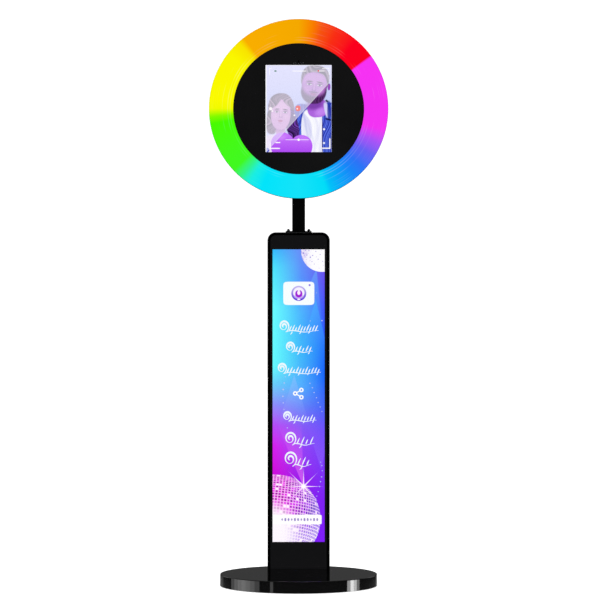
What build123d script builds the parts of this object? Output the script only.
"""A free-standing photo booth: a weighted round base, a slim column with a tall advertising screen,
a neck tube, and a round head with a ring light and a tablet behind a magnetic faceplate.

Units are millimetres. The origin is the centre of the base on the floor, +Z is up and the front faces -Y.
Each function below makes one sub-part, and the table at the end writes each to parts/NAME.step."""

import math
import os

from build123d import *

# ---------------------------------------------------------------- driving dimensions
BASE_R = 225.0
BASE_TOP = 34.0
COLUMN_W = 182.0
COLUMN_D = 72.0
COLUMN_H = 981.5
COLUMN_FRONT = 127.0
HEAD_Z = 1372.0
RING_R = 260.0
RING_HOLE_R = 190.0
RING_FRONT = 60.0
SCREEN_W = 151.8
SCREEN_H = 853.4
SCREEN_MID_Z = 538.9
WINDOW_W = 191.0
WINDOW_H = 252.0

# ---------------------------------------------------------------- worked out from them
COLUMN_TOP = BASE_TOP + COLUMN_H
COLUMN_BACK = COLUMN_FRONT + COLUMN_D
COLUMN_MID = (COLUMN_FRONT + COLUMN_BACK) / 2
SIDES = (-1, 1)


# ---------------------------------------------------------------- shared shapes
def along_y(sketch, y0, y1):
    """A sketch drawn in (x, z), made solid from y0 to y1."""
    return extrude(Plane.XZ.offset(-y1) * sketch, y1 - y0)


def along_z(sketch, z0, z1):
    """A sketch drawn in (x, y), made solid from z0 to z1."""
    return extrude(Plane.XY.offset(z0) * sketch, z1 - z0)


def along_x(sketch, x0, x1):
    """A sketch drawn in (y, z), made solid from x0 to x1."""
    return extrude(Plane.YZ.offset(x0) * sketch, x1 - x0)


def disc_y(radius, y0, y1, x=0.0, z=0.0):
    return along_y(Pos(x, z) * Circle(radius), y0, y1)


def disc_z(radius, z0, z1, x=0.0, y=0.0):
    return along_z(Pos(x, y) * Circle(radius), z0, z1)


def disc_x(radius, x0, x1, y=0.0, z=0.0):
    return along_x(Pos(y, z) * Circle(radius), x0, x1)


def hexagon(across_flats):
    return RegularPolygon(across_flats / 2, 6, major_radius=False)


def block(x0, x1, y0, y1, z0, z1):
    middle = Pos((x0 + x1) / 2, (y0 + y1) / 2, (z0 + z1) / 2)
    return middle * Box(x1 - x0, y1 - y0, z1 - z0)


def rounded(width, height, radius, x=0.0, y=0.0):
    return Pos(x, y) * RectangleRounded(width, height, radius)


def on_circle(count, radius, first=0.0):
    """Points (across, up) evenly spaced on a circle, the first at an angle in degrees."""
    angles = [math.radians(first + 360 * i / count) for i in range(count)]
    return [(radius * math.cos(a), radius * math.sin(a)) for a in angles]


def group(solids):
    return Compound(children=list(solids))


def in_head(shape):
    """Lifts a shape drawn about the head's centre to the head's height."""
    return Pos(0, 0, HEAD_Z) * shape


def turned(face):
    """A face drawn in (radius, y), turned once round the head's axis."""
    return in_head(revolve(face, Axis.Y))


def band(r0, r1, y0, y1):
    """A rectangle in (radius, y), for turned()."""
    return Pos((r0 + r1) / 2, (y0 + y1) / 2) * Rectangle(r1 - r0, y1 - y0)


# ================================================================ base
COVER_WALL = 2.0
COVER_TOP_T = 3.0
COVER_RIM_Z = 0.8
COVER_EDGE_R = 2.0
WEIGHT_R = 216.0
FLOOR_PLATE_Z = (9.0, 11.0)
FLOOR_PLATE_R = 222.0
FOOT_R = 18.0
FEET = on_circle(6, 195.0, 30)
FLOOR_SCREWS = on_circle(6, 205.0, 0)
FLOOR_SCREW_R = 2.0
FLOOR_SCREW_HEAD = (4.0, 2.4)
FLOOR_SCREW_TOP = 20.0
FIT = 0.05

COLUMN_BOLTS = [(x, COLUMN_MID + y + 2) for x in (-62, 62) for y in (-22, 22)]
COLUMN_BOLT_R = 4.0
COLUMN_BOLT_HOLE_R = 4.5
COLUMN_BOLT_FLATS = 13.0
COLUMN_BOLT_HEAD_T = 5.3
COLUMN_BOLT_SEAT_Z = 19.0
COLUMN_BOLT_POCKET_R = 10.0
FOOT_PLATE_T = 6.0
COLUMN_NUT_T = 6.5
COLUMN_BOLT_TOP = BASE_TOP + FOOT_PLATE_T + COLUMN_NUT_T + 3.5


def base_cover():
    """The pressed steel pan that shows: a flat top and a short rim."""
    pan = disc_z(BASE_R, COVER_RIM_Z, BASE_TOP)
    pan = fillet(pan.edges().group_by(Axis.Z)[-1], COVER_EDGE_R)
    pan -= disc_z(BASE_R - COVER_WALL, 0, BASE_TOP - COVER_TOP_T)
    for x, y in COLUMN_BOLTS:
        pan -= disc_z(COLUMN_BOLT_HOLE_R, 0, BASE_TOP + 1, x, y)
    return pan


def base_weight():
    """The thick steel ballast disc inside the cover."""
    weight = disc_z(WEIGHT_R, FLOOR_PLATE_Z[1], BASE_TOP - COVER_TOP_T)
    for x, y in COLUMN_BOLTS:
        weight -= disc_z(COLUMN_BOLT_HOLE_R, 0, BASE_TOP, x, y)
        weight -= disc_z(COLUMN_BOLT_POCKET_R, 0, COLUMN_BOLT_SEAT_Z, x, y)
    for x, y in FLOOR_SCREWS:
        weight -= disc_z(FLOOR_SCREW_R + FIT, 0, FLOOR_SCREW_TOP + 1, x, y)
    return weight


def base_floor_plate():
    plate = disc_z(FLOOR_PLATE_R, *FLOOR_PLATE_Z)
    for x, y in COLUMN_BOLTS:
        plate -= disc_z(COLUMN_BOLT_POCKET_R, 0, BASE_TOP, x, y)
    for x, y in FLOOR_SCREWS:
        plate -= disc_z(FLOOR_SCREW_R + FIT, 0, BASE_TOP, x, y)
    return plate


def base_feet():
    """Rubber feet glued under the floor plate."""
    foot = disc_z(FOOT_R, 0, FLOOR_PLATE_Z[0])
    foot = chamfer(foot.edges().group_by(Axis.Z)[0], 1.0)
    return group(Pos(x, y) * foot for x, y in FEET)


def base_floor_screws():
    head_r, head_t = FLOOR_SCREW_HEAD
    seat = FLOOR_PLATE_Z[0]
    screw = disc_z(FLOOR_SCREW_R, seat, FLOOR_SCREW_TOP) + disc_z(head_r, seat - head_t, seat)
    return group(Pos(x, y) * screw for x, y in FLOOR_SCREWS)


def column_bolts():
    """Hexagon bolts that come up through the weight and hold the column down."""
    head_z = COLUMN_BOLT_SEAT_Z - COLUMN_BOLT_HEAD_T
    bolt = along_z(hexagon(COLUMN_BOLT_FLATS), head_z, COLUMN_BOLT_SEAT_Z)
    bolt += disc_z(COLUMN_BOLT_R, COLUMN_BOLT_SEAT_Z, COLUMN_BOLT_TOP)
    return group(Pos(x, y) * bolt for x, y in COLUMN_BOLTS)


def column_nuts():
    bottom = BASE_TOP + FOOT_PLATE_T
    nut = along_z(hexagon(COLUMN_BOLT_FLATS), bottom, bottom + COLUMN_NUT_T)
    nut -= disc_z(COLUMN_BOLT_R + FIT, 0, COLUMN_TOP)
    return group(Pos(x, y) * nut for x, y in COLUMN_BOLTS)


# ================================================================ column casing
SHELL_WALL = 2.5
SHELL_CORNER_R = 24.0
SHELL_EDGE_R = 1.2
GLASS_T = 4.0
GLASS_RECESS = 0.3
GLASS_GAP = 0.4
PICTURE_GAP = 0.3
LEDGE_W = 6.0
LEDGE_T = 1.5
DOOR_W = 140.0
DOOR_H = 700.0
DOOR_MID_Z = 520.0
DOOR_GAP = 1.0
DOOR_T = 1.5
DOOR_FOLD = 12.0
LATCH_FLANGE_D = 8.0
INLET_Z = 80.0
INLET_BODY_W = 48.0
INLET_BODY_H = 27.0
CABLE_HOLE_R = 9.0
NECK_Y = COLUMN_MID
STUDS = [(x, NECK_Y + y) for x in (-30, 30) for y in (-18, 18)]
STUD_R = 2.5
FLANGE_T = 4.0
TOP_PLATE_T = 4.0
STUD_PROUD = 6.4
VENT_W = 64.0
VENT_H = 4.0
VENT_PITCH = 11.0


def column_outline(inset):
    """The column's outline in (x, z), pulled in at both sides and the top, with rounded top corners."""
    top = COLUMN_TOP - inset
    sheet = Pos(0, (BASE_TOP + top) / 2) * Rectangle(COLUMN_W - 2 * inset, top - BASE_TOP)
    return fillet(sheet.vertices().group_by(Axis.Y)[-1], SHELL_CORNER_R - inset)


def vents(count, middle_z, y0, y1):
    """A column of slots through a sheet that faces +Y."""
    slots = [
        along_y(Pos(0, middle_z + VENT_PITCH * (i - (count - 1) / 2)) * SlotOverall(VENT_W, VENT_H), y0, y1)
        for i in range(count)
    ]
    return group(slots)


def column_shell():
    """The folded steel casing: sides, rounded top and back, with a ledge that the front glass is glued to."""
    back_in = COLUMN_BACK - SHELL_WALL
    shell = along_y(column_outline(0), COLUMN_FRONT, COLUMN_BACK)
    outer = shell.edges().filter_by(GeomType.LINE).filter_by(Axis.Z).group_by(Axis.Y)
    shell = fillet(outer[0] + outer[-1], SHELL_EDGE_R)
    shell -= along_y(column_outline(SHELL_WALL), COLUMN_FRONT - 1, back_in)
    ledge_y = COLUMN_FRONT + GLASS_RECESS + GLASS_T
    ledge = column_outline(SHELL_WALL) - column_outline(SHELL_WALL + LEDGE_W)
    shell += along_y(ledge, ledge_y, ledge_y + LEDGE_T)
    opening_w = DOOR_W + 2 * DOOR_GAP
    opening_h = DOOR_H + 2 * DOOR_GAP
    low, high = DOOR_MID_Z - opening_h / 2, DOOR_MID_Z + opening_h / 2
    shell += block(opening_w / 2, opening_w / 2 + DOOR_T, back_in - LATCH_FLANGE_D, back_in, low, high)
    shell -= block(-opening_w / 2, opening_w / 2, back_in - 1, COLUMN_BACK + 1, low, high)
    shell -= vents(6, (high + COLUMN_TOP) / 2, back_in - 1, COLUMN_BACK + 1)
    inlet_cut = Pos(0, INLET_Z) * Rectangle(INLET_BODY_W + 0.4, INLET_BODY_H + 0.4)
    shell -= along_y(inlet_cut, back_in - 1, COLUMN_BACK + 1)
    shell -= disc_z(CABLE_HOLE_R, COLUMN_TOP - 5, COLUMN_TOP + 1, 0, NECK_Y)
    for x, y in STUDS:
        shell -= disc_z(STUD_R + 0.2, COLUMN_TOP - 5, COLUMN_TOP + 1, x, y)
    return shell


def column_foot_plate():
    """The plate welded across the bottom of the casing, which the bolts pull down."""
    inside = COLUMN_W / 2 - SHELL_WALL
    front = COLUMN_FRONT + GLASS_RECESS + GLASS_T + LEDGE_T
    plate = block(-inside, inside, front, COLUMN_BACK - SHELL_WALL, BASE_TOP, BASE_TOP + FOOT_PLATE_T)
    for x, y in COLUMN_BOLTS:
        plate -= disc_z(COLUMN_BOLT_HOLE_R, 0, COLUMN_TOP, x, y)
    return plate


def column_top_plate():
    """The stiffener under the casing's top, with four welded studs for the neck."""
    z1 = COLUMN_TOP - SHELL_WALL
    plate = block(-50, 50, NECK_Y - 26, NECK_Y + 26, z1 - TOP_PLATE_T, z1)
    plate -= disc_z(CABLE_HOLE_R, 0, COLUMN_TOP, 0, NECK_Y)
    for x, y in STUDS:
        stud = disc_z(STUD_R, z1 - 1, COLUMN_TOP + FLANGE_T + STUD_PROUD, x, y)
        plate += chamfer(stud.edges().group_by(Axis.Z)[-1], 0.5)
    return plate


def column_glass():
    """The toughened front glass, a little short of the base."""
    y0 = COLUMN_FRONT + GLASS_RECESS
    glass = along_y(column_outline(SHELL_WALL + GLASS_GAP), y0, y0 + GLASS_T)
    return glass & block(-COLUMN_W, COLUMN_W, 0, COLUMN_BACK, BASE_TOP + GLASS_GAP, COLUMN_TOP)


# ================================================================ column screen and electronics
LCD_Y = COLUMN_FRONT + GLASS_RECESS + GLASS_T + PICTURE_GAP
LCD_T = 1.4
LCD_EDGE = 1.5
TRAY_W = 162.0
TRAY_H = 868.0
TRAY_T = 10.0
TRAY_Y = LCD_Y + LCD_T + 0.1
BRACKET_Y = TRAY_Y + TRAY_T
BRACKET_T = 2.0
BRACKET_TAB = 16.0
BRACKETS = [(205.0, 24.0), (540.0, 170.0), (880.0, 24.0)]
SUPPLY_W, SUPPLY_D, SUPPLY_H = 97.0, 30.0, 129.0
SUPPLY_Z = 195.0
BOARD_W, BOARD_H, BOARD_T = 112.0, 150.0, 1.6
STANDOFF = 5.0
BOARD_Y = BRACKET_Y + BRACKET_T + STANDOFF
BOARD_Z = 540.0
LEAD_R = 2.5


def lcd_screen():
    """The liquid-crystal cell, the sheet that shows the picture."""
    width, height = SCREEN_W + 2 * LCD_EDGE, SCREEN_H + 2 * LCD_EDGE
    return along_y(Pos(0, SCREEN_MID_Z) * Rectangle(width, height), LCD_Y, LCD_Y + LCD_T)


def lcd_backlight():
    """The backlight tray, with pressed ribs on its back."""
    tray = along_y(rounded(TRAY_W, TRAY_H, 2, 0, SCREEN_MID_Z), TRAY_Y, TRAY_Y + TRAY_T)
    rib_depth = 1.2
    for i in range(4):
        z = SCREEN_MID_Z + 230 * (i - 1.5)
        groove = rounded(TRAY_W - 30, 60, 8, 0, z) - rounded(TRAY_W - 42, 48, 4, 0, z)
        tray -= along_y(groove, TRAY_Y + TRAY_T - rib_depth, TRAY_Y + TRAY_T + 1)
    return tray


def lcd_brackets():
    """Cross bars screwed between the casing's sides. They hold the backlight tray and the boards."""
    half = COLUMN_W / 2 - SHELL_WALL
    bars = []
    for z, height in BRACKETS:
        z0, z1 = z - height / 2, z + height / 2
        bar = block(-half, half, BRACKET_Y, BRACKET_Y + BRACKET_T, z0, z1)
        for side in SIDES:
            edges = sorted((side * half, side * (half - BRACKET_T)))
            bar += block(*edges, BRACKET_Y, BRACKET_Y + BRACKET_TAB, z0, z1)
        bars.append(bar)
    return group(bars)


def power_supply():
    """The mains power supply in its perforated metal case, with a terminal strip at the bottom."""
    y0 = BRACKET_Y + BRACKET_T
    half = SUPPLY_W / 2
    case = block(-half, half, y0, y0 + SUPPLY_D, SUPPLY_Z, SUPPLY_Z + SUPPLY_H)
    case -= block(4 - half, half - 4, y0 + 14, y0 + SUPPLY_D + 1, SUPPLY_Z - 1, SUPPLY_Z + 16)
    for i in range(7):
        x = SUPPLY_W / 7.5 * (i - 3)
        case += block(x - 4, x + 4, y0 + 13, y0 + 24, SUPPLY_Z + 1, SUPPLY_Z + 14)
    for i in range(5):
        for j in range(6):
            x, z = 16.0 * (i - 2), SUPPLY_Z + 32 + 16.0 * j
            case -= disc_y(3.2, y0 + SUPPLY_D - 2, y0 + SUPPLY_D + 1, x, z)
    return case


def lcd_driver_board():
    """The media player board on four standoffs, with its chips and connectors."""
    y1 = BOARD_Y + BOARD_T
    pieces = [along_y(rounded(BOARD_W, BOARD_H, 3, 0, BOARD_Z), BOARD_Y, y1)]
    for x in (-48, 48):
        for z in (-66, 66):
            pieces.append(disc_y(3, BOARD_Y - STANDOFF, BOARD_Y, x, BOARD_Z + z))
    parts = [  # x, z, width, height, depth
        (0, 20, 30, 30, 5),
        (-30, -24, 18, 14, 2),
        (30, -24, 18, 14, 2),
        (-36, 60, 16, 13, 7),
        (-12, 60, 16, 13, 7),
        (20, 60, 20, 12, 6),
        (36, -66, 20, 8, 8),
    ]
    for x, z, width, height, depth in parts:
        z += BOARD_Z
        pieces.append(block(x - width / 2, x + width / 2, y1, y1 + depth, z - height / 2, z + height / 2))
    for i in range(3):
        pieces.append(disc_y(5, y1, y1 + 14, -40 + 14 * i, BOARD_Z - 48))
    return group(pieces)


def lead(points, radius):
    """A round lead along straight runs joined by arcs as large as the runs allow."""
    runs = [Vector(*b) - Vector(*a) for a, b in zip(points, points[1:])]
    radii = []
    for before, after in zip(runs, runs[1:]):
        turn = math.radians(before.get_angle(after))
        radii.append(0.45 * min(before.length, after.length) / math.tan(turn / 2))
    path = FilletPolyline(*points, radius=radii)
    start = Plane(origin=path @ 0, z_dir=path % 0)
    return sweep(start * Circle(radius), path=path)


def mains_lead():
    """From the inlet up to the power supply's terminals."""
    return lead([(-10, 171, 80), (-10, 160, 80), (-10, 152, 88), (-13, 149, 102), (-21, 151, 125),
                 (-28, 157, 152), (-29, 162.5, 171), (-28, 164.5, 184), (-28, 164.5, 196)], LEAD_R)


def screen_lead():
    """From the power supply up to the media player board."""
    return lead([(38, 160, 324), (38, 160, 338), (41, 162, 360), (44, 164, 390), (43, 162, 420),
                 (38, 158, 443), (36, 155.7, 457), (36, 155.7, 470)], LEAD_R)


# ================================================================ rear door, hinges and lock
DOOR_Y = COLUMN_BACK - DOOR_T
HINGE_X = -70.5
HINGE_Y = COLUMN_BACK + 3.2
HINGE_R = 3.0
HINGE_PIN_R = 1.5
HINGE_Z = (300.0, 740.0)
HINGE_KNUCKLE = 20.0
HINGE_LEAF_W = 17.0
HINGE_LEAF_T = 1.5
HINGE_GAP = 0.3
LOCK_X = 52.0
LOCK_Z = DOOR_MID_Z
LOCK_R = 9.4
LOCK_PLUG_R = 6.0
CAM_Y = (COLUMN_BACK - 14.5, COLUMN_BACK - 12.5)


def column_door():
    """The service door: a sheet with folded edges and louvre slots."""
    z0, z1 = DOOR_MID_Z - DOOR_H / 2, DOOR_MID_Z + DOOR_H / 2
    half = DOOR_W / 2
    door = block(-half, half, COLUMN_BACK - DOOR_FOLD, COLUMN_BACK, z0, z1)
    inner = block(-half + DOOR_T, half - DOOR_T, 0, DOOR_Y, z0 + DOOR_T, z1 - DOOR_T)
    door -= inner
    door -= vents(9, DOOR_MID_Z + 250, DOOR_Y - 1, COLUMN_BACK + 1)
    door -= vents(9, DOOR_MID_Z - 250, DOOR_Y - 1, COLUMN_BACK + 1)
    return door - disc_y(LOCK_R + FIT, DOOR_Y - 1, COLUMN_BACK + 1, LOCK_X, LOCK_Z)


def hinge_leaves(side, knuckles):
    """One hinge's leaf on one side of its pin, with its knuckles as (low, high) about the hinge's middle."""
    clear = HINGE_R + HINGE_GAP
    reach = sorted((HINGE_X + side * clear, HINGE_X + side * (HINGE_LEAF_W + 1)))
    web = sorted((HINGE_X, HINGE_X + side * (clear + 0.2)))
    half = 1.5 * HINGE_KNUCKLE
    leaf = block(*reach, COLUMN_BACK, COLUMN_BACK + HINGE_LEAF_T, -half, half)
    for low, high in knuckles:
        leaf += disc_z(HINGE_R, low, high, HINGE_X, HINGE_Y)
        leaf += block(*web, COLUMN_BACK, COLUMN_BACK + 2.2, low, high)
    leaf -= disc_z(HINGE_PIN_R + FIT, -half - 1, half + 1, HINGE_X, HINGE_Y)
    return leaf


def door_hinge_fixed_leaves():
    half = HINGE_KNUCKLE / 2
    leaf = hinge_leaves(-1, [(-half, half)])
    return group(Pos(0, 0, z) * leaf for z in HINGE_Z)


def door_hinge_moving_leaves():
    inner, outer = HINGE_KNUCKLE / 2 + HINGE_GAP, 1.5 * HINGE_KNUCKLE
    leaf = hinge_leaves(1, [(-outer, -inner), (inner, outer)])
    return group(Pos(0, 0, z) * leaf for z in HINGE_Z)


def door_hinge_pins():
    half = 1.5 * HINGE_KNUCKLE
    pin = disc_z(HINGE_PIN_R, -half, half + 1.5, HINGE_X, HINGE_Y)
    pin += disc_z(2.6, half + 0.2, half + 1.5, HINGE_X, HINGE_Y)
    return group(Pos(0, 0, z) * pin for z in HINGE_Z)


def door_lock_barrel():
    """The fixed body of the cam lock, with a flange outside the door and a ring nut inside."""
    barrel = disc_y(LOCK_R, CAM_Y[1] + 0.2, COLUMN_BACK, LOCK_X, LOCK_Z)
    barrel += disc_y(12, COLUMN_BACK, COLUMN_BACK + 2, LOCK_X, LOCK_Z)
    barrel += along_y(Pos(LOCK_X, LOCK_Z) * hexagon(25), DOOR_Y - 4, DOOR_Y)
    return barrel - disc_y(LOCK_PLUG_R + 0.06, 0, COLUMN_BACK + 5, LOCK_X, LOCK_Z)


def door_lock_plug():
    """The turning plug, with its key slot."""
    plug = disc_y(LOCK_PLUG_R, CAM_Y[1], COLUMN_BACK + 2.5, LOCK_X, LOCK_Z)
    slot = block(LOCK_X - 0.8, LOCK_X + 0.8, COLUMN_BACK - 6, COLUMN_BACK + 5, LOCK_Z - 3.5, LOCK_Z + 3.5)
    return plug - slot


def door_lock_cam():
    """The tongue on the plug's inner end. It stands upright when the door is unlocked."""
    reach, half = 30.0, 7.0
    tongue = Circle(half) + Pos(0, (reach - half) / 2) * Rectangle(2 * half, reach - half)
    tongue += Pos(0, reach - half) * Circle(half)
    return along_y(Pos(LOCK_X, LOCK_Z) * tongue, *CAM_Y)


# ================================================================ mains inlet and rocker switch
INLET_FLANGE_T = 2.5
INLET_BACK = COLUMN_BACK - 28.0
INLET_FACE = COLUMN_BACK + INLET_FLANGE_T
SOCKET_X = -10.0
SOCKET_W, SOCKET_H, SOCKET_DEPTH = 24.6, 16.8, 17.5
BLADE_LENGTH = 11.0
BLADES = [(0.0, 3.0), (-7.0, -1.5), (7.0, -1.5)]
INLET_SCREWS_X = 32.0
INLET_SCREW_R = 1.5
ROCKER_X = 15.5
ROCKER_W = 13.0
ROCKER_R = 9.5
ROCKER_PIVOT_Y = COLUMN_BACK - 1.5
ROCKER_TILT = 8.0


def inlet_socket():
    """The moulded mains socket and switch frame, pushed through the casing's back."""
    flange = rounded(2 * INLET_SCREWS_X + 10, INLET_BODY_H + 5, 4, 0, INLET_Z)
    socket = along_y(flange, COLUMN_BACK, INLET_FACE)
    socket += along_y(rounded(INLET_BODY_W, INLET_BODY_H, 2, 0, INLET_Z), INLET_BACK, COLUMN_BACK)
    mouth = Pos(SOCKET_X, INLET_Z) * Rectangle(SOCKET_W, SOCKET_H)
    mouth = chamfer(mouth.vertices().group_by(Axis.Y)[-1], 3.5)
    socket -= along_y(mouth, INLET_FACE - SOCKET_DEPTH, INLET_FACE + 1)
    half_w = ROCKER_W / 2 + 0.2
    half_h = ROCKER_R + 0.3
    well = block(-half_w, half_w, INLET_FACE - SOCKET_DEPTH, INLET_FACE + 1, -half_h, half_h)
    socket -= Pos(ROCKER_X, 0, INLET_Z) * well
    for side in SIDES:
        socket -= disc_y(INLET_SCREW_R + FIT, COLUMN_BACK - 1, INLET_FACE + 1, side * INLET_SCREWS_X, INLET_Z)
    return socket


def inlet_blades():
    """The three contact blades in the socket."""
    root = INLET_FACE - SOCKET_DEPTH
    return group(
        block(SOCKET_X + x - 1, SOCKET_X + x + 1, root, root + BLADE_LENGTH, INLET_Z + z - 2, INLET_Z + z + 2)
        for x, z in BLADES
    )


def inlet_screws():
    screw = disc_y(INLET_SCREW_R, COLUMN_BACK, INLET_FACE) + disc_y(3, INLET_FACE, INLET_FACE + 1.6)
    screw -= block(-2.4, 2.4, INLET_FACE + 0.8, INLET_FACE + 2, -0.4, 0.4)
    return group(Pos(side * INLET_SCREWS_X, 0, INLET_Z) * screw for side in SIDES)


def power_rocker():
    """The rocker, pressed in at its lower end. Its ends are round about the pivot, so it never rubs."""
    rise, drop = 6.0, 5.0
    slope = math.tan(math.radians(ROCKER_TILT)) * ROCKER_R
    roof = Polygon((-drop, -12), (rise - slope, -ROCKER_R), (rise, 0), (rise - slope, ROCKER_R), (-drop, 12),
                   align=None)
    profile = Circle(ROCKER_R) & roof
    rocker = along_x(profile, -ROCKER_W / 2, ROCKER_W / 2)
    rocker = Rot(-ROCKER_TILT, 0, 0) * rocker
    return Pos(ROCKER_X, ROCKER_PIVOT_Y, INLET_Z) * rocker


# ================================================================ neck
NECK_W = 38.0
NECK_D = 25.0
NECK_WALL = 2.0
NECK_TOP = HEAD_Z + 20.0
CAP_T = 2.0
TILT_Y = NECK_Y
TILT_BOLT_R = 5.0
SLEEVE_R = 8.0
WASHER_R = 13.0
WASHER_T = 1.5
RUNNING = 0.08


def neck_flange():
    flange = along_z(rounded(76, 56, 6, 0, NECK_Y), COLUMN_TOP, COLUMN_TOP + FLANGE_T)
    flange -= disc_z(CABLE_HOLE_R, 0, NECK_TOP, 0, NECK_Y)
    for x, y in STUDS:
        flange -= disc_z(STUD_R + 0.2, 0, NECK_TOP, x, y)
    return flange


def neck_nuts():
    bottom = COLUMN_TOP + FLANGE_T
    nut = along_z(hexagon(8), bottom, bottom + 4.2)
    nut -= disc_z(STUD_R + FIT, 0, NECK_TOP)
    return group(Pos(x, y) * nut for x, y in STUDS)


def neck_tube():
    """The rectangular steel tube welded on the flange."""
    section = rounded(NECK_W, NECK_D, 3, 0, NECK_Y)
    section -= rounded(NECK_W - 2 * NECK_WALL, NECK_D - 2 * NECK_WALL, 1.5, 0, NECK_Y)
    tube = along_z(section, COLUMN_TOP + FLANGE_T, NECK_TOP)
    return tube - disc_x(TILT_BOLT_R + RUNNING, -NECK_W, NECK_W, TILT_Y, HEAD_Z)


def neck_end_cap():
    """The plastic plug in the tube's open top."""
    plug_w, plug_d = NECK_W - 2 * NECK_WALL - 0.4, NECK_D - 2 * NECK_WALL - 0.4
    cap = along_z(rounded(NECK_W, NECK_D, 3, 0, NECK_Y), NECK_TOP, NECK_TOP + CAP_T)
    cap = fillet(cap.edges().group_by(Axis.Z)[-1], 1.0)
    return cap + along_z(rounded(plug_w, plug_d, 1.3, 0, NECK_Y), NECK_TOP - 8, NECK_TOP)


def tilt_sleeve():
    """The spacer inside the tube that the tilt bolt clamps against."""
    half = NECK_W / 2 - NECK_WALL
    sleeve = disc_x(SLEEVE_R, -half, half, TILT_Y, HEAD_Z)
    return sleeve - disc_x(TILT_BOLT_R + RUNNING, -NECK_W, NECK_W, TILT_Y, HEAD_Z)


def tilt_washers():
    """Nylon friction washers between the neck and the yoke's ears."""
    inner, outer = NECK_W / 2, NECK_W / 2 + WASHER_T
    washers = []
    for side in SIDES:
        span = sorted((side * inner, side * outer))
        ring = disc_x(WASHER_R, *span, TILT_Y, HEAD_Z)
        washers.append(ring - disc_x(TILT_BOLT_R + RUNNING, -NECK_W, NECK_W, TILT_Y, HEAD_Z))
    return group(washers)


# ================================================================ tilt yoke and turning hub
PAN_BACK = RING_FRONT + 50.0
HUB_R = 48.0
HUB_T = 4.0
HUB_BACK = PAN_BACK + HUB_T
HUB_WASHER_T = 1.0
YOKE_FRONT = HUB_BACK + HUB_WASHER_T
YOKE_T = 4.0
YOKE_R = 46.0
YOKE_BACK = YOKE_FRONT + YOKE_T
EAR_IN = NECK_W / 2 + WASHER_T + 0.1
EAR_T = 4.0
EAR_OUT = EAR_IN + EAR_T
EAR_END_R = 16.0
EAR_ROOT = 22.0
PIVOT_R = 6.0
STOP_R = 3.0
STOP_RADIUS = 38.0
STOP_SLOT_W = 7.0
HUB_SCREWS = on_circle(4, 26.0, 45)


def tilt_yoke():
    """The welded yoke: a round plate with a stop slot, and two ears that hold the tilt bolt."""
    yoke = disc_y(YOKE_R, YOKE_FRONT, YOKE_BACK)
    low, high = (YOKE_BACK - 1, -EAR_ROOT), (YOKE_BACK - 1, EAR_ROOT)
    root = Polygon(low, (TILT_Y, -EAR_END_R), (TILT_Y, EAR_END_R), high, align=None)
    ear = root + Pos(TILT_Y, 0) * Circle(EAR_END_R)
    for side in SIDES:
        yoke += along_x(ear, *sorted((side * EAR_IN, side * EAR_OUT)))
    yoke -= disc_y(PIVOT_R + 0.02, 0, YOKE_BACK + 1)
    yoke -= disc_x(TILT_BOLT_R + 0.02, -60, 60, TILT_Y, 0)
    arc = CenterArc((0, 0), STOP_RADIUS, 0, 90)
    yoke -= along_y(SlotArc(arc, STOP_SLOT_W), YOKE_FRONT - 1, YOKE_BACK + 1)
    return in_head(yoke)


def tilt_bolt():
    """The bolt that the head tilts on, with a hexagon head at one side."""
    bolt = disc_x(TILT_BOLT_R, -EAR_OUT, 45.5, TILT_Y, 0)
    bolt += along_x(Pos(TILT_Y, 0) * hexagon(17), -EAR_OUT - 6.4, -EAR_OUT)
    return in_head(bolt)


def tilt_knob():
    """The star knob that clamps the tilt."""
    lobes, reach = 6, 19.0
    start, grip, end = EAR_OUT + 0.3, EAR_OUT + 6, EAR_OUT + 24
    star = Circle(reach + 1)
    for y, z in on_circle(lobes, reach, 30):
        star += Pos(y, z) * Circle(5.5)
    knob = along_x(star, grip, end)
    knob = fillet(knob.edges().group_by(Axis.X)[-1], 1.5)
    knob += disc_x(11, start, grip)
    knob = Pos(0, TILT_Y, 0) * knob
    return in_head(knob - disc_x(TILT_BOLT_R + RUNNING, 0, end - 2, TILT_Y, 0))


def hub_pivot_bolt():
    """The bolt that the head turns on, and its nut behind the yoke."""
    bolt = disc_y(10, PAN_BACK - 9.2, PAN_BACK - 2.2) + disc_y(PIVOT_R, PAN_BACK - 2.3, YOKE_BACK + 10)
    nut = along_y(hexagon(18), YOKE_BACK, YOKE_BACK + 8) - disc_y(PIVOT_R + 0.02, 0, YOKE_BACK + 20)
    return in_head(group([bolt, nut]))


def hub_washer():
    """The nylon friction ring between the hub plate and the yoke."""
    ring = Circle(30) - Circle(PIVOT_R + 0.2)
    return in_head(along_y(ring, HUB_BACK + 0.1, YOKE_FRONT))


def hub_plate():
    """The steel plate screwed on the head's back, with the pin that stops a turn at each end."""
    plate = disc_y(HUB_R, PAN_BACK, HUB_BACK) - disc_y(PIVOT_R + RUNNING, 0, HUB_BACK + 1)
    for x, z in HUB_SCREWS:
        plate -= disc_y(2 + FIT, 0, HUB_BACK + 1, x, z)
        plate -= disc_y(4 + FIT, HUB_BACK - 2.2, HUB_BACK + 1, x, z)
    plate += disc_y(STOP_R, HUB_BACK - 1, YOKE_BACK + 1.5, 0, STOP_RADIUS)
    return in_head(plate)


def hub_plate_screws():
    """Flush screws through the hub plate and the pan, with nuts inside."""
    head = disc_y(4, HUB_BACK - 2.2, HUB_BACK)
    shank = disc_y(2, PAN_BACK - 8, HUB_BACK - 2.1)
    nut = along_y(hexagon(7), PAN_BACK - 5.2, PAN_BACK - 2)
    return in_head(group(Pos(x, 0, z) * (head + shank + nut) for x, z in HUB_SCREWS))


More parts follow.
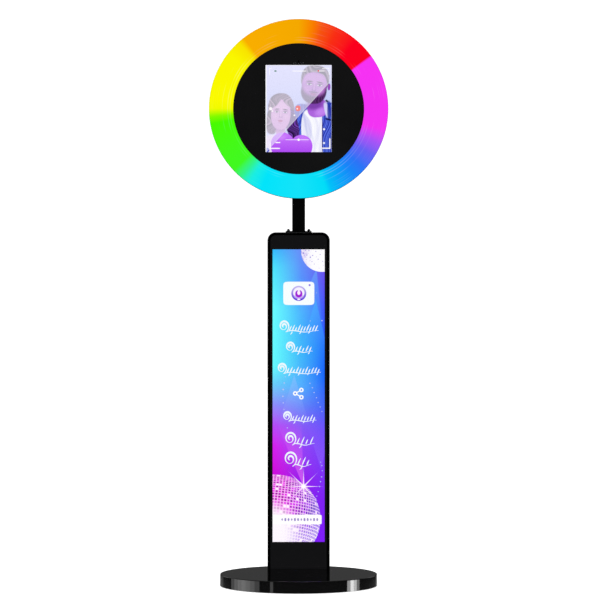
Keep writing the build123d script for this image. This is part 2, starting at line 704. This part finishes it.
# ================================================================ ring light
DIFFUSER_T = 2.5
DIFFUSER_BACK = RING_FRONT + 24.0
DIFFUSER_EDGE_R = 9.0
DIFFUSER_CROWN = 3.5
HOUSING_R = RING_R - 0.4
HOUSING_BACK = RING_FRONT + 48.0
HOUSING_HOLE_R = RING_HOLE_R + 0.2
HOUSING_EDGE_R = 5.0
LED_BOARD = (198.0, 252.0)
LED_BOARD_Y = HOUSING_BACK - 7.0
LED_BOARD_T = 1.6
LED_RIBS = (206.0, 244.0)
LED_CIRCLES = (213.0, 237.0)
LEDS_PER_CIRCLE = 48
LED_SIZE = 5.0
LED_T = 1.5
PAN_SCREWS = on_circle(8, 197.0, 22.5)
PAN_SCREW_R = 2.0


def loaf(r0, r1, back, edge, crown, radius):
    """A section in (radius, y): square at the back, round at both front corners and crowned between them."""
    corner = radius * (1 - math.sqrt(0.5))
    outline = [
        Line((r0, back), (r0, edge + radius)),
        ThreePointArc((r0, edge + radius), (r0 + corner, edge + corner), (r0 + radius, edge)),
        ThreePointArc((r0 + radius, edge), ((r0 + r1) / 2, crown), (r1 - radius, edge)),
        ThreePointArc((r1 - radius, edge), (r1 - corner, edge + corner), (r1, edge + radius)),
        Line((r1, edge + radius), (r1, back)),
        Line((r1, back), (r0, back)),
    ]
    return make_face(outline)


def ring_diffuser():
    """The opal cover: a crowned ring, open at the back."""
    edge, crown, t = RING_FRONT + DIFFUSER_CROWN, RING_FRONT, DIFFUSER_T
    r0, r1, radius = RING_HOLE_R, RING_R, DIFFUSER_EDGE_R
    outer = loaf(r0, r1, DIFFUSER_BACK, edge, crown, radius)
    inner = loaf(r0 + t, r1 - t, DIFFUSER_BACK + 1, edge + t, crown + t, radius - t)
    return turned(outer - inner)


def ring_housing():
    """The black ring-shaped channel behind the diffuser, with a lip that the diffuser snaps over."""
    wall, lip, front = 2.5, 2.2, DIFFUSER_BACK + 0.2
    outside = HOUSING_R - wall
    lip_in = RING_HOLE_R + DIFFUSER_T + 0.2
    lip_out = RING_R - DIFFUSER_T - 0.2
    section = band(HOUSING_HOLE_R, HOUSING_R, front, HOUSING_BACK)
    back_edge = section.vertices().sort_by(Axis.X)[-2:].sort_by(Axis.Y)[-1]
    section = fillet(back_edge, HOUSING_EDGE_R)
    section -= band(HOUSING_HOLE_R + wall, outside, front - 1, HOUSING_BACK - wall)
    section += band(lip_out - lip, lip_out, front - 7, front + 6)
    section += band(lip_in, lip_in + lip, front - 7, front + 6)
    for r in LED_RIBS:
        section += band(r - 1, r + 1, LED_BOARD_Y + LED_BOARD_T, HOUSING_BACK - wall + 0.5)
    housing = turned(section)
    for x, z in PAN_SCREWS:
        housing -= disc_y(PAN_SCREW_R + FIT, HOUSING_BACK - 4, HOUSING_BACK + 1, x, HEAD_Z + z)
    return housing


def led_board():
    return turned(band(*LED_BOARD, LED_BOARD_Y, LED_BOARD_Y + LED_BOARD_T))


def leds():
    """Two circles of surface-mount lamps."""
    half = LED_SIZE / 2
    lamp = block(-half, half, LED_BOARD_Y - LED_T, LED_BOARD_Y, -half, half)
    lamps = []
    for radius in LED_CIRCLES:
        for i in range(LEDS_PER_CIRCLE):
            lamps.append(Rot(0, 360 * i / LEDS_PER_CIRCLE, 0) * Pos(0, 0, radius) * lamp)
    return in_head(group(lamps))


# ================================================================ head pan, tablet and faceplate
PAN_T = 2.0
PAN_R = 204.0
PAN_WALL_R = RING_HOLE_R - 0.4
PAN_WALL_T = 2.2
PAN_RIM = RING_FRONT + 12.4
PAN_FRONT = PAN_BACK - PAN_T
TABLET_W, TABLET_H, TABLET_R = 215.0, 281.0, 18.0
TABLET_FRONT = RING_FRONT + 11.5
TABLET_GLASS_T = 0.8
TABLET_T = 7.0
DISPLAY_W, DISPLAY_H, DISPLAY_T = 196.6, 262.2, 1.3
CRADLE_GAP = 0.4
CRADLE_T = 2.0
CRADLE_BACK = TABLET_FRONT + TABLET_T + 0.2 + CRADLE_T
BOSSES = [(x, z) for x in (-85, 85) for z in (-118, 118)]
FACE_R = RING_HOLE_R - 0.8
FACE_Y = RING_FRONT + 6.0
FACE_T = 3.0
CAMERA_UP = 11.5
CAMERA_R = 3.0
MIC_UP = 5.5
MIC_PITCH = 7.0
MAGNETS = on_circle(6, 178.0, 30)
MAGNET_R = 6.0
MAGNET_T = 3.0


def tablet_pan():
    """The steel pan that carries the tablet: a back plate over the ring housing, with a welded round wall,
    four bosses for the tablet's cradle and six posts for the faceplate's magnets."""
    pan = disc_y(PAN_R, PAN_FRONT, PAN_BACK)
    pan += along_y(Circle(PAN_WALL_R) - Circle(PAN_WALL_R - PAN_WALL_T), PAN_RIM, PAN_FRONT)
    for x, z in BOSSES:
        pan += disc_y(6, CRADLE_BACK, PAN_FRONT, x, z)
    for x, z in MAGNETS:
        pan += disc_y(MAGNET_R + 1, FACE_Y + FACE_T + MAGNET_T + 0.3, PAN_FRONT, x, z)
    pan -= disc_y(PIVOT_R + 0.1, 0, PAN_BACK + 1)
    for x, z in HUB_SCREWS:
        pan -= disc_y(2 + FIT, 0, PAN_BACK + 1, x, z)
    for x, z in PAN_SCREWS:
        pan -= disc_y(PAN_SCREW_R + FIT, 0, PAN_BACK + 1, x, z)
    for side in SIDES:
        for i in range(7):
            slot = Pos(side * 115, VENT_PITCH * (i - 3)) * SlotOverall(60, VENT_H)
            pan -= along_y(slot, PAN_FRONT - 1, PAN_BACK + 1)
    return in_head(pan)


def pan_screws():
    """Eight screws that join the pan to the ring housing."""
    screw = disc_y(PAN_SCREW_R, HOUSING_BACK - 4, PAN_BACK) + disc_y(4, PAN_BACK, PAN_BACK + 2.4)
    cross = block(-2.6, 2.6, PAN_BACK + 1.2, PAN_BACK + 3, -0.5, 0.5)
    cross += block(-0.5, 0.5, PAN_BACK + 1.2, PAN_BACK + 3, -2.6, 2.6)
    return in_head(group(Pos(x, 0, z) * (screw - cross) for x, z in PAN_SCREWS))


def tablet_cradle():
    """The tray behind the tablet, with a low wall round its edge."""
    width, height = TABLET_W + 2 * CRADLE_GAP, TABLET_H + 2 * CRADLE_GAP
    outer = rounded(width + 2 * CRADLE_T, height + 2 * CRADLE_T, TABLET_R + CRADLE_T)
    cradle = along_y(outer, TABLET_FRONT + 1, CRADLE_BACK)
    cradle -= along_y(rounded(width, height, TABLET_R), 0, CRADLE_BACK - CRADLE_T)
    return in_head(cradle - along_y(rounded(150, 200, 10), 0, CRADLE_BACK + 1))


def cradle_clips():
    """Four spring-steel hooks that snap over the tablet's long edges."""
    t, half, hook = 0.8, 8.0, 9.0
    out = TABLET_W / 2 + CRADLE_GAP + CRADLE_T
    front = TABLET_FRONT - 0.3
    clips = []
    for side in SIDES:
        stem = sorted((side * out, side * (out + t)))
        top = sorted((side * (out + t), side * (out - hook)))
        for z in (-92, 92):
            clip = block(*stem, front - t, CRADLE_BACK, z - half, z + half)
            clips.append(clip + block(*top, front - t, front, z - half, z + half))
    return in_head(group(clips))


def tablet_glass():
    glass = rounded(TABLET_W - 1, TABLET_H - 1, TABLET_R - 0.5)
    return in_head(along_y(glass, TABLET_FRONT, TABLET_FRONT + TABLET_GLASS_T))


def tablet_display():
    y0 = TABLET_FRONT + TABLET_GLASS_T + PICTURE_GAP
    return in_head(along_y(Rectangle(DISPLAY_W, DISPLAY_H), y0, y0 + DISPLAY_T))


def tablet_case():
    """The tablet's metal back, with a pocket for the display."""
    y0, y1 = TABLET_FRONT + TABLET_GLASS_T, TABLET_FRONT + TABLET_T
    case = along_y(rounded(TABLET_W, TABLET_H, TABLET_R), y0, y1)
    case = fillet(case.edges().group_by(Axis.Y)[-1], 2.0)
    pocket = Rectangle(DISPLAY_W + 0.4, DISPLAY_H + 0.4)
    return in_head(case - along_y(pocket, 0, y0 + PICTURE_GAP + DISPLAY_T))


def faceplate():
    """The black round front plate with the tablet's window, a camera hole and a row of microphone holes."""
    plate = along_y(Circle(FACE_R), FACE_Y, FACE_Y + FACE_T)
    plate = chamfer(plate.edges().group_by(Axis.Y)[0], 0.6)
    plate -= along_y(rounded(WINDOW_W, WINDOW_H, 1.0), FACE_Y - 1, FACE_Y + FACE_T + 1)
    plate -= disc_y(CAMERA_R, FACE_Y - 1, FACE_Y + FACE_T + 1, 0, WINDOW_H / 2 + CAMERA_UP)
    for i in range(5):
        plate -= disc_y(1.0, FACE_Y - 1, FACE_Y + FACE_T + 1, MIC_PITCH * (i - 2), WINDOW_H / 2 + MIC_UP)
    return in_head(plate)


def faceplate_magnets():
    """Disc magnets glued behind the faceplate."""
    back = FACE_Y + FACE_T
    return in_head(group(disc_y(MAGNET_R, back, back + MAGNET_T, x, z) for x, z in MAGNETS))


# ================================================================ light controller
CONTROL_Z = 150.0
CONTROL_W, CONTROL_H, CONTROL_D = 76.0, 36.0, 14.0
CONTROL_BACK = PAN_BACK + CONTROL_D
BUTTON_R = 5.0
BUTTON_GAP = 0.3
BUTTON_DEPTH = 4.4
BUTTON_PROUD = 1.6
BUTTON_TRAVEL = 1.0
BUTTONS = {"light_power_button": -22.0, "light_colour_button": 0.0, "light_dimmer_button": 22.0}
SOCKET_SHELL_W, SOCKET_SHELL_D, SOCKET_LENGTH = 13.0, 7.0, 8.0
MOUTH_W, MOUTH_D = 9.0, 3.2
SOCKET_Y = PAN_BACK + 7.0


def light_controller():
    """The small box on the head's back that switches and colours the ring light."""
    box = along_y(rounded(CONTROL_W, CONTROL_H, 4, 0, CONTROL_Z), PAN_BACK, CONTROL_BACK)
    box = fillet(box.edges().group_by(Axis.Y)[-1], 2.0)
    for x in BUTTONS.values():
        depth = BUTTON_DEPTH + BUTTON_TRAVEL + 0.3
        box -= disc_y(BUTTON_R + BUTTON_GAP, CONTROL_BACK - depth, CONTROL_BACK + 1, x, CONTROL_Z)
    return in_head(box)


def light_button(x):
    y0, y1 = CONTROL_BACK - BUTTON_DEPTH, CONTROL_BACK + BUTTON_PROUD
    button = disc_y(BUTTON_R, y0, y1, x, CONTROL_Z)
    return in_head(fillet(button.edges().group_by(Axis.Y)[-1], 0.8))


def light_socket():
    """The flat power socket under the controller box, with its tongue."""
    z1 = CONTROL_Z - CONTROL_H / 2
    z0 = z1 - SOCKET_LENGTH
    socket = along_z(rounded(SOCKET_SHELL_W, SOCKET_SHELL_D, 1.5, 0, SOCKET_Y), z0, z1)
    socket -= along_z(rounded(MOUTH_W, MOUTH_D, MOUTH_D / 2 - 0.05, 0, SOCKET_Y), z0 - 1, z1 - 1.5)
    return in_head(socket + along_z(Pos(0, SOCKET_Y) * Rectangle(MOUTH_W - 2.4, 0.8), z0 + 1, z1 - 1))


# ================================================================ write one STEP per sub-part
MAKERS = [
    base_cover, base_weight, base_floor_plate, base_feet, base_floor_screws, column_bolts, column_nuts,
    column_shell, column_foot_plate, column_top_plate, column_glass,
    lcd_screen, lcd_backlight, lcd_brackets, power_supply, lcd_driver_board, mains_lead, screen_lead,
    column_door, door_hinge_fixed_leaves, door_hinge_moving_leaves, door_hinge_pins,
    door_lock_barrel, door_lock_plug, door_lock_cam,
    inlet_socket, inlet_blades, inlet_screws, power_rocker,
    neck_flange, neck_nuts, neck_tube, neck_end_cap, tilt_sleeve, tilt_washers,
    tilt_yoke, tilt_bolt, tilt_knob, hub_pivot_bolt, hub_washer, hub_plate, hub_plate_screws,
    ring_diffuser, ring_housing, led_board, leds,
    tablet_pan, pan_screws, tablet_cradle, cradle_clips, tablet_glass, tablet_display, tablet_case,
    faceplate, faceplate_magnets, light_controller, light_socket,
]


def main():
    os.makedirs("parts", exist_ok=True)
    parts = {maker.__name__: maker() for maker in MAKERS}
    for name, x in BUTTONS.items():
        parts[name] = light_button(x)
    for name, shape in parts.items():
        export_step(shape, f"parts/{name}.step")


main()
